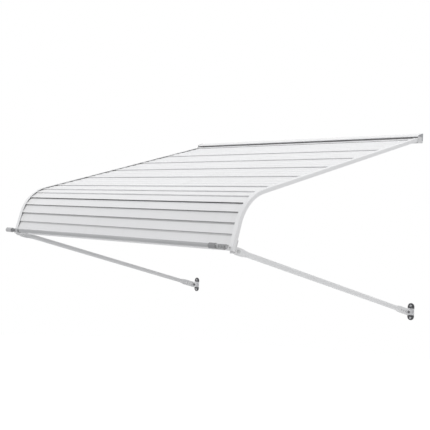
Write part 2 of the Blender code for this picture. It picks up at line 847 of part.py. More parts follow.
def hook_rivet(parts, word, side, finish):
    """The rivet that holds a bar hook on the front trim."""
    frame = seam_frame(len(SEAMS) - 1)
    out = Vector((0.0, -sin(frame[2]), cos(frame[2])))
    face = layer(3) + SHEET / 2 + GAP + HOOK_SHEET
    along = TRIM_FACE - HOOK_SHEET - (HOOK_FOOT - HOOK_SHEET) / 2
    place = Vector((hook_middle(side), *step_from(frame, along, face)))
    targets = (f"bar_hook_{word}", "front_trim")
    fasten(parts, f"hook_rivet_{word}", place, out, RIVET, RIVET_LENGTH, finish, targets)


def bracket_fasteners(parts, word, side, finish):
    """The screws through an arm bracket into the rail's back flange."""
    targets = (f"arm_bracket_{word}", f"side_rail_{word}")
    for index, (place, out) in enumerate(bracket_screw_places(side)):
        name = f"bracket_screw_{word}_{index + 1}"
        fasten(parts, name, place, out, SCREW, BRACKET_SCREW_LENGTH, finish, targets)


def foot_fasteners(parts, word, side, finish):
    """The wall screws of a foot."""
    half = FOOT_SCREW_SPREAD / 2
    for end, offset in (("upper", half), ("lower", -half)):
        place = Vector((arm_x(side), -FOOT_PLATE, offset - FOOT_BELOW))
        targets = (f"wall_foot_{word}",)
        name = f"foot_screw_{word}_{end}"
        fasten(parts, name, place, Vector((0, -1, 0)), FOOT_SCREW, FOOT_PLATE, finish, targets)


def turn_about(part, pivot):
    """Put a moving part's origin on its joint's axis."""
    part.data.transform(Matrix.Translation(-pivot))
    part.location = pivot


def hang(child, parent):
    """Parent a part to the one that carries it, without moving it."""
    bpy.context.view_layer.update()
    child.parent = parent
    child.matrix_parent_inverse = parent.matrix_world.inverted()


def arm_and_foot(parts, word, side, finishes):
    """An arm with its bracket, its wall foot, their bolts, nuts and screws."""
    steel = finishes["zinc"]
    parts[f"arm_bracket_{word}"] = arm_bracket(f"arm_bracket_{word}", side, finishes["mill"])
    parts[f"support_arm_{word}"] = support_arm(f"support_arm_{word}", side, finishes["mill"])
    parts[f"wall_foot_{word}"] = wall_foot(f"wall_foot_{word}", side, finishes["dark"])
    for place, pivot in (("arm", front_pivot()), ("foot", wall_pivot())):
        parts[f"{place}_bolt_{word}"] = bolt(f"{place}_bolt_{word}", side, pivot, steel)
        parts[f"{place}_nut_{word}"] = nut(f"{place}_nut_{word}", side, pivot, steel)
    bracket_fasteners(parts, word, side, steel)
    foot_fasteners(parts, word, side, steel)
    arm = parts[f"support_arm_{word}"]
    foot = parts[f"wall_foot_{word}"]
    turn_about(arm, Vector((arm_x(side), *front_pivot())))
    turn_about(foot, Vector((arm_x(side), *wall_pivot())))
    hang(foot, arm)
    carried = [f"foot_{kind}_{word}" for kind in ("bolt", "nut")]
    carried += [f"foot_screw_{word}_{end}" for end in ("upper", "lower")]
    for name in carried:
        hang(parts[name], foot)


def canopy():
    """Build the whole canopy."""
    finishes = {
        "white": material("white_paint", (0.86, 0.87, 0.88), 0.35, 0.0),
        "cap": material("grey_cap", (0.45, 0.46, 0.48), 0.5, 0.0),
        "mill": material("painted_tube", (0.72, 0.73, 0.75), 0.35, 0.4),
        "sleeve": material("grey_sleeve", (0.35, 0.36, 0.38), 0.6, 0.0),
        "zinc": material("zinc_steel", (0.62, 0.63, 0.65), 0.35, 0.9),
        "dark": material("dark_steel", (0.16, 0.16, 0.17), 0.45, 0.8),
    }
    white = finishes["white"]
    parts = {"wall_header": header(white), "receiver_rail": receiver(white), "front_trim": front_trim(white)}
    for sheet in roof_sheets(white):
        parts[sheet.name] = sheet
    parts["front_bar"] = front_bar(finishes["mill"])
    for word, side in SIDES:
        parts[f"side_rail_{word}"] = side_rail(f"side_rail_{word}", side, white)
        header_cap(f"header_end_cap_{word}", side, finishes["cap"])
        parts[f"bar_hook_{word}"] = bar_hook(f"bar_hook_{word}", side, finishes["mill"])
        bar_collar(f"bar_collar_{word}", side, finishes["sleeve"])
        bar_plug(f"bar_plug_{word}", side, finishes["sleeve"])
    header_fasteners(parts, finishes["zinc"])
    for word, side in SIDES:
        hook_rivet(parts, word, side, finishes["mill"])
        rail_fasteners(parts, word, side, finishes["zinc"])
        arm_and_foot(parts, word, side, finishes)


for leftover in list(bpy.data.objects):
    bpy.data.objects.remove(leftover)
canopy()
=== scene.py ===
"""Looks of the aluminium door canopy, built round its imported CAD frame. Metres, +Z up."""
from math import cos, pi, radians, sin

import bmesh
import bpy
from mathutils import Matrix, Vector


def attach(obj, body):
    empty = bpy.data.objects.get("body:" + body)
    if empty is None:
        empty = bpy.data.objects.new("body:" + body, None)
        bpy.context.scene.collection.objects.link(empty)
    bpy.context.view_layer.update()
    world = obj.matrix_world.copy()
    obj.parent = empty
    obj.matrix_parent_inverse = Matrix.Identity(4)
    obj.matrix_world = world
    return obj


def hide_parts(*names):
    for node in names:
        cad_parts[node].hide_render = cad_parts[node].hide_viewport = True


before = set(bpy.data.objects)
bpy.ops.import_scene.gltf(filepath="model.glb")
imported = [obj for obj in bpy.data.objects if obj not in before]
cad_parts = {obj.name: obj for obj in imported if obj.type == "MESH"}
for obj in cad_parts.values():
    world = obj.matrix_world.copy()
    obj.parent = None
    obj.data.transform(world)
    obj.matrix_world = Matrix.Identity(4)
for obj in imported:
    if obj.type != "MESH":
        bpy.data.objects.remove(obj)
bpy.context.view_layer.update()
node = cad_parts


# Studio
# A pale floor a door's height below the canopy, soft lamps over it and a camera that stands to
# the right, a little below the header. The world is white where the camera, gloss or glass
# looks at it, and a softer grey where it only lights the canopy.
CAMERA_PLACE = Vector((2.3082, -2.8081, -0.3846))
CAMERA_PITCH = radians(0.81)
CAMERA_ROLL = radians(3.14)
CAMERA_YAW = radians(45.01)
CAMERA_LENS = 69.08
CAMERA_SENSOR = 36.0
FLOOR_Z = -2.1
FLOOR_RADIUS = 9.0
FLOOR_MIDDLE_Y = -0.5
FLOOR_DULL = (0.90, 0.90, 0.90, 1)
FLOOR_PALE = (0.94, 0.94, 0.94, 1)
FLOOR_GLOW = 0.62
SKY_GREY = (0.985, 0.99, 1, 1)
SKY_LEVEL = 0.56
WHITE = (1, 1, 1, 1)


def new_object(name, data):
    """A new object in the scene, at the origin."""
    made = bpy.data.objects.new(name, data)
    bpy.context.scene.collection.objects.link(made)
    return made


camera_data = bpy.data.cameras.new("camera")
camera_data.lens = CAMERA_LENS
camera_data.sensor_width = CAMERA_SENSOR
camera = new_object("camera", camera_data)
aim = Matrix.Rotation(CAMERA_YAW, 4, "Z") @ Matrix.Rotation(pi / 2 + CAMERA_PITCH, 4, "X")
camera.matrix_world = Matrix.Translation(CAMERA_PLACE) @ aim @ Matrix.Rotation(CAMERA_ROLL, 4, "Z")
bpy.context.scene.camera = camera
bpy.context.scene.view_settings.view_transform = "Standard"


def soft_lamp(name, place, target, power, size):
    """A square studio lamp that looks at a point."""
    data = bpy.data.lights.new(name, "AREA")
    data.energy = power
    data.size = size
    lamp = new_object(name, data)
    lamp.location = place
    lamp.rotation_euler = (Vector(target) - Vector(place)).to_track_quat("-Z", "Y").to_euler()


soft_lamp("top_lamp", (0.3, -0.2, 3.0), (0.0, -0.6, -0.3), 42, 2.4)
soft_lamp("front_lamp", (-1.6, -3.6, 0.9), (0.0, -0.9, -0.35), 28, 1.8)
soft_lamp("right_lamp", (3.6, -0.9, 0.4), (0.6, -0.6, -0.4), 13, 1.8)


def add(tree, kind, settings=(), values=()):
    """A shader node with its settings and the plain values of its inputs."""
    made = tree.nodes.new(kind)
    for label, value in dict(settings).items():
        setattr(made, label, value)
    for label, value in dict(values).items():
        made.inputs[label].default_value = value
    return made


def reckon(tree, operation, first, second=0):
    """A Math node on one or two sockets or numbers."""
    made = add(tree, "ShaderNodeMath", {"operation": operation})
    for target, source in zip(made.inputs, (first, second)):
        if isinstance(source, (int, float)):
            target.default_value = source
        else:
            tree.links.new(source, target)
    return made.outputs[0]


def seen_directly(tree):
    """1 where the camera, a reflection or a clear piece looks at a surface, otherwise 0."""
    path = add(tree, "ShaderNodeLightPath").outputs
    seen = reckon(tree, "MAXIMUM", path["Is Camera Ray"], path["Is Glossy Ray"])
    return reckon(tree, "MAXIMUM", seen, path["Is Transmission Ray"])


world = bpy.data.worlds.new("studio")
bpy.context.scene.world = world
world.use_nodes = True
tree = world.node_tree
tree.nodes.clear()
grey_sky = add(tree, "ShaderNodeBackground", values={"Color": SKY_GREY, "Strength": SKY_LEVEL})
white_sky = add(tree, "ShaderNodeBackground", values={"Color": WHITE, "Strength": 1.0})
sky = add(tree, "ShaderNodeMixShader")
tree.links.new(seen_directly(tree), sky.inputs[0])
tree.links.new(grey_sky.outputs[0], sky.inputs[1])
tree.links.new(white_sky.outputs[0], sky.inputs[2])
tree.links.new(sky.outputs[0], add(tree, "ShaderNodeOutputWorld").inputs[0])


def new_material(name):
    """A node material: itself, its tree and its Principled shader."""
    made = bpy.data.materials.new(name)
    made.use_nodes = True
    return made, made.node_tree, made.node_tree.nodes["Principled BSDF"]


floor_paint, tree, shader = new_material("pale_floor")
shader.inputs["Roughness"].default_value = 0.9
speckle = add(tree, "ShaderNodeTexNoise", values={"Scale": 30.0, "Detail": 3.0})
tree.links.new(add(tree, "ShaderNodeTexCoord").outputs["Object"], speckle.inputs["Vector"])
tone = add(tree, "ShaderNodeMix", {"data_type": "RGBA"})
tone.inputs[6].default_value = FLOOR_DULL
tone.inputs[7].default_value = FLOOR_PALE
tree.links.new(speckle.outputs["Fac"], tone.inputs[0])
tree.links.new(tone.outputs[2], shader.inputs["Base Color"])
glow = add(tree, "ShaderNodeEmission", values={"Color": WHITE})
tree.links.new(reckon(tree, "MULTIPLY", seen_directly(tree), FLOOR_GLOW), glow.inputs["Strength"])
both = add(tree, "ShaderNodeAddShader")
tree.links.new(shader.outputs[0], both.inputs[0])
tree.links.new(glow.outputs[0], both.inputs[1])
tree.links.new(both.outputs[0], tree.nodes["Material Output"].inputs["Surface"])

floor_mesh = bpy.data.meshes.new("floor")
shape = bmesh.new()
bmesh.ops.create_circle(shape, cap_ends=True, segments=96, radius=FLOOR_RADIUS)
bmesh.ops.translate(shape, verts=shape.verts, vec=(0, FLOOR_MIDDLE_Y, FLOOR_Z))
shape.to_mesh(floor_mesh)
shape.free()
floor_mesh.materials.append(floor_paint)
new_object("floor", floor_mesh)


# Wall header and its end caps
# An extruded aluminium channel screwed to the wall, with a sloping hood over the roof's upper
# edge, in baked white enamel that shows the die's long lines. Moulded grey caps are pressed
# into its two ends.
HOOD_REACH = 0.032
HOOD_FRONT = -0.0295
HOOD_ROOT = 0.0080
HOOD_EDGE_BELOW = 0.0105
HOOD_STEEPER = 0.0055
HOOD_EDGE_LOWER = 0.0035
SAME_POINT = 1e-6
RUN_STRETCH = (1, 0.06, 0.06)
LINE_STRETCH = (0.012, 1, 1)
LIP_TILT = -0.2
ENAMEL_WHITE = (0.85, 0.85, 0.858)
ENAMEL_DUSTY = (0.80, 0.797, 0.79)
CAP_GREY = (0.40, 0.405, 0.42)
CAP_PLATE = (0.78, 0.78, 0.785)
CAP_RIM_Y = -0.008
CAP_RIM_Z = 0.0035
CAP_RIM_END = -0.010


def shader_group(name, inputs, outputs):
    """A shader node group with named numbers in and out: its tree, input node and output node."""
    made = bpy.data.node_groups.new(name, "ShaderNodeTree")
    for label, value in inputs.items():
        socket = made.interface.new_socket(label, in_out="INPUT", socket_type="NodeSocketFloat")
        socket.default_value = value
    for label in outputs:
        made.interface.new_socket(label, in_out="OUTPUT", socket_type="NodeSocketFloat")
    return made, made.nodes.new("NodeGroupInput").outputs, made.nodes.new("NodeGroupOutput").inputs


def pattern(tree, kind, scale, values=(), stretch=(1, 1, 1), turned=0.0):
    """A texture on object coordinates, drawn out along an axis where stretch is below 1."""
    place = add(tree, "ShaderNodeTexCoord").outputs["Object"]
    lay = add(tree, "ShaderNodeMapping", values={"Scale": stretch, "Rotation": (turned, 0, 0)})
    tree.links.new(place, lay.inputs["Vector"])
    made = add(tree, kind, values=values)
    tree.links.new(lay.outputs["Vector"], made.inputs["Vector"])
    if isinstance(scale, (int, float)):
        made.inputs["Scale"].default_value = scale
    else:
        tree.links.new(scale, made.inputs["Scale"])
    return made


def span(tree, source, low, high, first, second):
    """A number that passes from first to second as the source passes from low to high."""
    limits = {"From Min": low, "From Max": high, "To Min": first, "To Max": second}
    made = add(tree, "ShaderNodeMapRange", values=limits)
    tree.links.new(source, made.inputs["Value"])
    return made.outputs["Result"]


def place_on(tree):
    """Where a point of the piece lies: its X, Y and Z."""
    parts = add(tree, "ShaderNodeSeparateXYZ")
    tree.links.new(add(tree, "ShaderNodeTexCoord").outputs["Object"], parts.inputs[0])
    return parts.outputs


def facing_of(tree):
    """Which way a face looks: the X, Y and Z of its true normal."""
    parts = add(tree, "ShaderNodeSeparateXYZ")
    tree.links.new(add(tree, "ShaderNodeNewGeometry").outputs["True Normal"], parts.inputs[0])
    return parts.outputs


# Baked enamel: orange peel in the gloss, broad uneven tone, and thin runs of dust down the fall.
enamel_film, given, giving = shader_group(
    "enamel_film", {"Peel Scale": 420.0, "Run Scale": 30.0}, ("Peel", "Tone", "Runs"))
peel = pattern(enamel_film, "ShaderNodeTexNoise", given["Peel Scale"], {"Detail": 2.0})
tone = pattern(enamel_film, "ShaderNodeTexNoise", 5.0, {"Detail": 4.0})
runs = pattern(enamel_film, "ShaderNodeTexNoise", given["Run Scale"], {"Detail": 5.0}, RUN_STRETCH)
enamel_film.links.new(peel.outputs["Fac"], giving["Peel"])
enamel_film.links.new(tone.outputs["Fac"], giving["Tone"])
enamel_film.links.new(runs.outputs["Fac"], giving["Runs"])

# Lines that the die or the drawing bench leaves along a length of metal.
drawn_lines, given, giving = shader_group("drawn_lines", {"Line Scale": 260.0}, ("Along X",))
lines = pattern(drawn_lines, "ShaderNodeTexNoise", given["Line Scale"], {"Detail": 3.0}, LINE_STRETCH)
drawn_lines.links.new(lines.outputs["Fac"], giving["Along X"])

# Small rubs and grains of grit: 1 in each speck and 0 between them.
specks, given, giving = shader_group("specks", {"Speck Scale": 160.0, "Speck Size": 0.10}, ("Specks",))
cells = pattern(specks, "ShaderNodeTexVoronoi", given["Speck Scale"])
patches = pattern(specks, "ShaderNodeTexNoise", 11.0, {"Detail": 2.0})
inside = reckon(specks, "LESS_THAN", cells.outputs["Distance"], given["Speck Size"])
gathered = span(specks, patches.outputs["Fac"], 0.55, 0.7, 0, 1)
specks.links.new(reckon(specks, "MULTIPLY", inside, gathered), giving["Specks"])

# Faces that look down and forward, which on the canopy are the edges under the lips.
under_lips, _, giving = shader_group("under_lips", {}, ("Under Lip", "Height"))
facing = facing_of(under_lips)
down = reckon(under_lips, "LESS_THAN", facing["Z"], LIP_TILT)
forward = reckon(under_lips, "LESS_THAN", facing["Y"], LIP_TILT)
under_lips.links.new(reckon(under_lips, "MULTIPLY", down, forward), giving["Under Lip"])
under_lips.links.new(place_on(under_lips)["Z"], giving["Height"])


def effect(tree, group, **values):
    """A node group's outputs in a material, with the material's own values."""
    made = add(tree, "ShaderNodeGroup", {"node_tree": group})
    for label, value in values.items():
        made.inputs[label.replace("_", " ")].default_value = value
    return made.outputs


def blend(tree, mask, first, second):
    """A colour between two, each a plain colour or another node's output."""
    made = add(tree, "ShaderNodeMix", {"data_type": "RGBA"})
    tree.links.new(mask, made.inputs[0])
    for target, colour in ((made.inputs[6], first), (made.inputs[7], second)):
        if isinstance(colour, tuple):
            target.default_value = (*colour, 1)
        else:
            tree.links.new(colour, target)
    return made.outputs[2]


def relief(tree, shader, height, depth, strength):
    """Fine relief on a material."""
    made = add(tree, "ShaderNodeBump", values={"Strength": strength, "Distance": depth})
    tree.links.new(height, made.inputs["Height"])
    tree.links.new(made.outputs["Normal"], shader.inputs["Normal"])


def tinted(colour, share):
    """A colour made darker or lighter by a share of itself."""
    return tuple(part * share for part in colour)


def drawn_enamel(name, colour, dusty, roughness, lip_shade_colour=None):
    """Enamel over an extrusion whose die lines still show, with painted shade under its lip where asked.
    """
    made, tree, shader = new_material(name)
    film = effect(tree, enamel_film)
    lines = effect(tree, drawn_lines)["Along X"]
    paint = blend(tree, span(tree, film["Tone"], 0.35, 0.7, 0, 1), colour, tinted(colour, 0.98))
    paint = blend(tree, span(tree, lines, 0.52, 0.72, 0, 0.45), paint, dusty)
    # A lip colour, where given, is painted shade on the faces under the lip.
    if lip_shade_colour:
        paint = blend(tree, effect(tree, under_lips)["Under Lip"], paint, lip_shade_colour)
    tree.links.new(paint, shader.inputs["Base Color"])
    tree.links.new(span(tree, lines, 0.35, 0.7, roughness, roughness + 0.12), shader.inputs["Roughness"])
    relief(tree, shader, reckon(tree, "ADD", film["Peel"], lines), 0.0002, 0.14)
    return made


def moulded(name, colour, plate, rim_y, rim_z, rim_end):
    """Moulded plastic with a fine grain: a grey rim under the hood and down the wall, a paler plate."""
    made, tree, shader = new_material(name)
    film = effect(tree, enamel_film, Peel_Scale=1500.0)
    place = place_on(tree)
    at_wall = reckon(tree, "MULTIPLY", reckon(tree, "GREATER_THAN", place["Y"], rim_y),
                     reckon(tree, "GREATER_THAN", place["Z"], rim_end))
    at_hood = reckon(tree, "GREATER_THAN", place["Z"], rim_z)
    paint = blend(tree, reckon(tree, "MAXIMUM", at_wall, at_hood), plate, colour)
    paint = blend(tree, span(tree, film["Tone"], 0.35, 0.7, 0, 0.25), paint, tinted(colour, 0.8))
    paint = blend(tree, effect(tree, specks, Speck_Scale=420.0)["Specks"], paint, tinted(colour, 1.3))
    tree.links.new(paint, shader.inputs["Base Color"])
    tree.links.new(span(tree, film["Peel"], 0.3, 0.7, 0.42, 0.6), shader.inputs["Roughness"])
    relief(tree, shader, film["Peel"], 0.0001, 0.35)
    return made


def wear(names, finish):
    """Give CAD nodes a finish in place of the plain one that they came with."""
    for name in names:
        node[name].data.materials.clear()
        node[name].data.materials.append(finish)


def stands_for(piece, body, slot, *sources):
    """Let a new piece ride on its body, in place of the CAD nodes that it stands for."""
    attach(piece, body)
    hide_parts(*sources)


def own_copy(name, source, finish, body, slot):
    """A merged copy of a CAD node's mesh that stands for the node, to be reshaped a little."""
    piece = new_object(name, node[source].data.copy())
    shape = bmesh.new()
    shape.from_mesh(piece.data)
    bmesh.ops.remove_doubles(shape, verts=shape.verts, dist=SAME_POINT)
    shape.to_mesh(piece.data)
    shape.free()
    piece.data.materials.clear()
    piece.data.materials.append(finish)
    stands_for(piece, body, slot, source)
    return piece


# The hood, and the caps with it, come down a little lower in front than in the frame.
header_white = drawn_enamel("header_white", ENAMEL_WHITE, ENAMEL_DUSTY, 0.34)
hooded_header = own_copy("hooded_header", "wall_header", header_white, "canopy", "white_paint")
for vertex in hooded_header.data.vertices:
    if vertex.co.y < HOOD_FRONT and vertex.co.z > 0:
        vertex.co.z -= HOOD_EDGE_LOWER if vertex.co.z < HOOD_EDGE_BELOW else HOOD_STEEPER

cap_plastic = moulded("cap_plastic", CAP_GREY, CAP_PLATE, CAP_RIM_Y, CAP_RIM_Z, CAP_RIM_END)
for word in ("left", "right"):
    cap = own_copy(f"sloped_cap_{word}", f"header_end_cap_{word}", cap_plastic, "canopy", "cap_grey")
    for vertex in cap.data.vertices:
        if vertex.co.z > HOOD_ROOT:
            vertex.co.z -= HOOD_STEEPER * -vertex.co.y / HOOD_REACH


# Header screws
# Pan-headed wall screws with a cross recess, through the receiver rail's leg and the header's
# back plate. They are zinc-plated steel, as are all the canopy's other screws.
SCREW_HEAD = 0.007
SCREW_HEAD_HEIGHT = 0.0022
SCREW_SHANK = 0.0036
SCREW_SIDES = 20
RECESS_REACH = 0.62
RECESS_HALF = 0.16
RECESS_TAPER = 0.6
CROWN_DEPTH = 1e-4
HEADER_SCREW_LENGTH = 0.0032
ZINC = (0.56, 0.57, 0.585)
ZINC_DULL = (0.42, 0.425, 0.43)
TURN_SEED = 7
OUT_OF_WALL = Vector((0, -1, 0))


def plated(name, bright, dull, roughness, metallic=0.9):
    """Plated steel: the crystals of the plating, dull patches and small rubs."""
    made, tree, shader = new_material(name)
    crystals = pattern(tree, "ShaderNodeTexVoronoi", 700.0).outputs["Distance"]
    patches = pattern(tree, "ShaderNodeTexNoise", 90.0, {"Detail": 4.0}).outputs["Fac"]
    paint = blend(tree, span(tree, patches, 0.4, 0.7, 0, 1), bright, dull)
    paint = blend(tree, span(tree, crystals, 0.1, 0.6, 0, 0.3), paint, dull)
    tree.links.new(paint, shader.inputs["Base Color"])
    shader.inputs["Metallic"].default_value = metallic
    tree.links.new(span(tree, patches, 0.3, 0.7, roughness, roughness + 0.2), shader.inputs["Roughness"])
    relief(tree, shader, crystals, 0.00005, 0.3)
    return made


def stacked(name, rings):
    """A closed mesh through rings of points, from the lowest ring to the highest."""
    shape = bmesh.new()
    loops = [[shape.verts.new(point) for point in ring] for ring in rings]
    for low, high in zip(loops, loops[1:]):
        for step in range(len(low)):
            after = (step + 1) % len(low)
            shape.faces.new((low[step], low[after], high[after], high[step]))
    shape.faces.new(list(reversed(loops[0])))
    shape.faces.new(loops[-1])
    made = bpy.data.meshes.new(name)
    shape.to_mesh(made)
    shape.free()
    return made


def turned_rings(profile, sides):
    """Rings turned about Z from (radius, height) points."""
    angles = [2 * pi * step / sides for step in range(sides)]
    return [[(radius * cos(a), radius * sin(a), height) for a in angles] for radius, height in profile]


def cross_rings(reach, half, low, high):
    """The lower and upper outline of a plus-shaped block, the shape of a cross recess."""
    outline = []
    for quarter in range(4):
        for x, y in ((reach, half), (half, half), (half, reach)):
            for _ in range(quarter):
                x, y = -y, x
            outline.append((x, y))
    bottom = [(x * RECESS_TAPER, y * RECESS_TAPER, low) for x, y in outline]
    return [bottom, [(x, y, high) for x, y in outline]]


def baked(piece):
    """A piece's mesh with its modifiers in it."""
    piece_now = piece.evaluated_get(bpy.context.evaluated_depsgraph_get())
    return bpy.data.meshes.new_from_object(piece_now)


def recessed_screw(name, head, height, shank, length):
    """One pan-headed screw along Z, its seat at the origin, with a cross cut into its head."""
    radius = head / 2
    profile = [
        (shank * 0.3, -length),
        (shank / 2, -length * 0.85),
        (shank / 2, 0),
        (radius, 0),
        (radius, height * 0.45),
        (radius * 0.93, height * 0.74),
        (radius * 0.75, height * 0.93),
        (radius * 0.4, height),
    ]
    recess = cross_rings(radius * RECESS_REACH, radius * RECESS_HALF, height * 0.3, height * 1.4)
    whole = new_object(name, stacked(name, turned_rings(profile, SCREW_SIDES)))
    bit = new_object(name + "_bit", stacked(name + "_bit", recess))
    cut = whole.modifiers.new("cut", "BOOLEAN")
    cut.object = bit
    mesh = baked(whole)
    whole.modifiers.clear()
    whole.data = mesh
    bpy.data.objects.remove(bit)
    return whole


# Puts a screw on every point, its head along the point's axis and its recess turned at random.
seats = bpy.data.node_groups.new("seat_fasteners", "GeometryNodeTree")
for label, kind in (
    ("Seats", "NodeSocketGeometry"),
    ("Fastener", "NodeSocketObject"),
    ("Size", "NodeSocketFloat"),
    ("Turn Seed", "NodeSocketInt"),
    ("Finish", "NodeSocketMaterial"),
):
    seats.interface.new_socket(label, in_out="INPUT", socket_type=kind)
seats.interface.new_socket("Fasteners", in_out="OUTPUT", socket_type="NodeSocketGeometry")
given = seats.nodes.new("NodeGroupInput").outputs
axis = add(seats, "GeometryNodeInputNamedAttribute", {"data_type": "FLOAT_VECTOR"}, {"Name": "axis"})
along = add(seats, "FunctionNodeAlignRotationToVector", {"axis": "Z"})
spin = add(seats, "FunctionNodeRandomValue", {"data_type": "FLOAT"})
spin.inputs[2].default_value = 0.0
spin.inputs[3].default_value = 2 * pi
about = add(seats, "FunctionNodeAxisAngleToRotation", values={"Axis": (0, 0, 1)})
turn = add(seats, "FunctionNodeRotateRotation", {"rotation_space": "LOCAL"})
shown = add(seats, "GeometryNodeObjectInfo", {"transform_space": "ORIGINAL"})
placed = add(seats, "GeometryNodeInstanceOnPoints")
real = add(seats, "GeometryNodeRealizeInstances")
coated = add(seats, "GeometryNodeSetMaterial")
for source, target in (
    (axis.outputs["Attribute"], along.inputs["Vector"]),
    (given["Turn Seed"], spin.inputs["Seed"]),
    (spin.outputs[1], about.inputs["Angle"]),
    (along.outputs[0], turn.inputs["Rotation"]),
    (about.outputs[0], turn.inputs["Rotate By"]),
    (given["Fastener"], shown.inputs["Object"]),
    (given["Seats"], placed.inputs["Points"]),
    (shown.outputs["Geometry"], placed.inputs["Instance"]),
    (turn.outputs[0], placed.inputs["Rotation"]),
    (given["Size"], placed.inputs["Scale"]),
    (placed.outputs[0], real.inputs[0]),
    (real.outputs[0], coated.inputs["Geometry"]),
    (given["Finish"], coated.inputs["Material"]),
    (coated.outputs[0], seats.nodes.new("NodeGroupOutput").inputs["Fasteners"]),
):
    seats.links.new(source, target)


def seat_of(name, out, height):
    """Where a CAD screw's head meets its seat, found from the top of the head."""
    points = [vertex.co for vertex in node[name].data.vertices]
    top = max(point.dot(out) for point in points)
    crown = [point for point in points if point.dot(out) > top - CROWN_DEPTH]
    return sum(crown, Vector()) / len(crown) - out * height


def seated(name, screw, height, seats_of, finish, body, slot):
    """Seat copies of one fastener where CAD nodes have theirs, as one piece that stands for them."""
    points = bpy.data.meshes.new(name)
    points.from_pydata([seat_of(source, out, height) for source, out in seats_of], [], [])
    axes = points.attributes.new("axis", "FLOAT_VECTOR", "POINT")
    for index, (_, out) in enumerate(seats_of):
        axes.data[index].vector = out
    piece = new_object(name, points)
    spread = piece.modifiers.new("seat_fasteners", "NODES")
    spread.node_group = seats
    sockets = {item.name: item.identifier for item in seats.interface.items_tree if item.in_out == "INPUT"}
    spread[sockets["Fastener"]] = screw
    spread[sockets["Size"]] = 1.0
    spread[sockets["Turn Seed"]] = TURN_SEED
    spread[sockets["Finish"]] = finish
    mesh = baked(piece)
    piece.modifiers.clear()
    piece.data = mesh
    stands_for(piece, body, slot, *[source for source, _ in seats_of])


zinc = plated("zinc_plate", ZINC, ZINC_DULL, 0.3)
header_screw = recessed_screw(
    "header_screw", SCREW_HEAD, SCREW_HEAD_HEIGHT, SCREW_SHANK, HEADER_SCREW_LENGTH)
header_seats = [(f"header_screw_{index}", OUT_OF_WALL) for index in range(1, 5)]
seated("header_screws", header_screw, SCREW_HEAD_HEIGHT, header_seats, zinc, "canopy", "zinc_steel")
bpy.data.objects.remove(header_screw)


# Receiver rail, roof pans and front slats
# Roll-formed aluminium in white enamel. Each sheet's lower lip laps over the next one and hooks
# into it, so that they can be slid together between the side rails. Painted shade darkens
# the edges under the lips, most on the slats that turn down round the front.
ROOF_SLOPE = radians(16.6)
# SEAM_SHADE is near-black painted shade for the faces under the lips; the bands below are painted shadow
# just under the front slats' lips.
SEAM_SHADE = (0.018, 0.018, 0.019)
CHIP_GREY = (0.5, 0.49, 0.47)
SLAT_SEAMS_BELOW = (-0.300, -0.295)
PAN_SEAMS_ABOVE = (-0.256, -0.252)
PAN_SEAM_SHARE = 0.12
SHADE_FADES = (-0.41, -0.31)
SHADE_LEFT_BELOW = 0.5
BAND_EDGE = 0.0005
LIP_SHADOW_BANDS = (
    (-0.3098, 0.0009, 0.30),
    (-0.3391, 0.0013, 0.22),
    (-0.3730, 0.0024, 0.40),
    (-0.4077, 0.0024, 0.26),
)
RECEIVER_SHADE = (0.05, 0.05, 0.05)
LIP_LONGER = 0.022
LIP_BEHIND = -0.022
SLAT_SLOPES = (ROOF_SLOPE, radians(23.4))
SLAT_MIDDLES = (Vector((0, -0.8601, -0.2517)), Vector((0, -0.8946, -0.2622)))
CUT_CLOSENESS = 1e-7


def lip_shade(tree, paint, shade, bands):
    """Painted shade on the faces under the lips, faint on the pans, and soft bands of painted shadow under
    some lips.
    """
    lips = effect(tree, under_lips)
    on_slats = span(tree, lips["Height"], *SLAT_SEAMS_BELOW, 1.0, 0.0)
    on_pans = span(tree, lips["Height"], *PAN_SEAMS_ABOVE, 0.0, PAN_SEAM_SHARE)
    level = reckon(tree, "MAXIMUM", on_slats, on_pans)
    fade = span(tree, lips["Height"], *SHADE_FADES, SHADE_LEFT_BELOW, 1.0)
    edge = reckon(tree, "MULTIPLY", lips["Under Lip"], reckon(tree, "MULTIPLY", level, fade))
    # Painted shade on the faces under the lips, then bands of painted shadow below them.
    paint = blend(tree, edge, paint, shade)
    for height, reach, strength in bands:
        off = reckon(tree, "ABSOLUTE", reckon(tree, "SUBTRACT", lips["Height"], height))
        paint = blend(tree, span(tree, off, reach, reach + BAND_EDGE, strength, 0), paint, shade)
    return paint


def enamel(name, colour, dusty, roughness, shade=None, bands=()):
    """Baked enamel with dust runs, chips and, where asked, painted shade under the lips."""
    made, tree, shader = new_material(name)
    film = effect(tree, enamel_film)
    grit = effect(tree, specks)["Specks"]
    paint = blend(tree, span(tree, film["Tone"], 0.35, 0.7, 0, 1), colour, tinted(colour, 0.98))
    paint = blend(tree, span(tree, film["Runs"], 0.55, 0.8, 0, 0.8), paint, dusty)
    paint = blend(tree, reckon(tree, "MULTIPLY", grit, 0.25), paint, CHIP_GREY)
    if shade:
        paint = lip_shade(tree, paint, shade, bands)
    tree.links.new(paint, shader.inputs["Base Color"])
    gloss = span(tree, film["Runs"], 0.4, 0.75, roughness, roughness + 0.14)
    tree.links.new(gloss, shader.inputs["Roughness"])
    relief(tree, shader, film["Peel"], 0.0002, 0.12)
    return made


def down_slope(slope):
    """The direction straight down the roof where it has a slope."""
    return Vector((0, -cos(slope), -sin(slope)))


def half_slat(source, middle, slope, cut_away):
    """A slat's mesh, merged, without its outer or its inner half."""
    half = bmesh.new()
    half.from_mesh(node[source].data)
    bmesh.ops.remove_doubles(half, verts=half.verts, dist=SAME_POINT)
    everything = [*half.verts, *half.edges, *half.faces]
    bmesh.ops.bisect_plane(half, geom=everything, dist=CUT_CLOSENESS, plane_co=middle,
                           plane_no=down_slope(slope), clear_outer=cut_away == "outer",
                           clear_inner=cut_away == "inner")
    kept = bpy.data.meshes.new(source + "_half")
    half.to_mesh(kept)
    half.free()
    return kept


